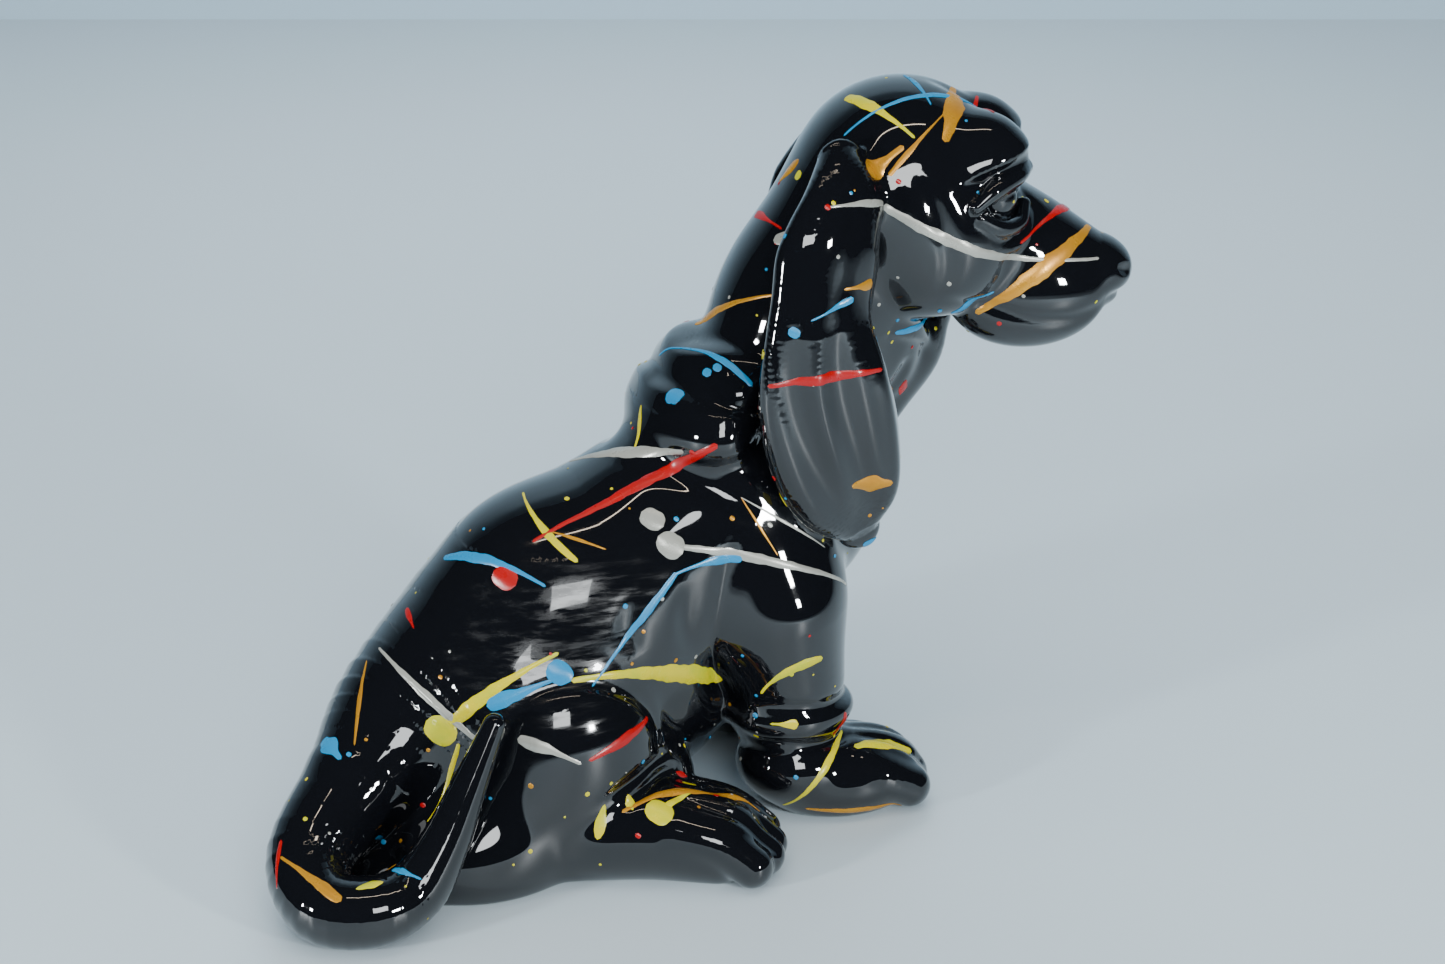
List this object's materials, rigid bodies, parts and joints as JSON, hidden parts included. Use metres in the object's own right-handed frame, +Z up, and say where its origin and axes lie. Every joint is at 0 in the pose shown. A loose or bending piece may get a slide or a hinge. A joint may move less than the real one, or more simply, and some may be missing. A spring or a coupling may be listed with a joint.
{
  "type": "ceramic dog figurine",
  "caption": "Glazed ceramic hound that sits with its head turned and its tail curled round, black under flung enamel paint, standing on a flat seat.",
  "frame": {"origin": "on the table, at the middle of the flat seat, in the body's middle plane", "axes": "+Z up, -Y the way the body faces, -X the hound's right side"},
  "size_m": [0.1996, 0.3678, 0.2927],
  "materials": {
    "glaze": "mirror gloss black glaze",
    "enamel_yellow": "raised gloss enamel paint",
    "enamel_red": "raised gloss enamel paint",
    "enamel_blue": "raised gloss enamel paint",
    "enamel_silver": "raised metallic enamel paint",
    "enamel_gold": "raised metallic enamel paint"
  },
  "bodies": {
    "root": {"torso": "glaze", "head": "glaze", "right_ear": "glaze", "left_ear": "glaze", "right_foreleg": "glaze", "left_foreleg": "glaze", "right_hind_leg": "glaze", "left_hind_leg": "glaze", "tail": "glaze"}
  },
  "joints": []
}
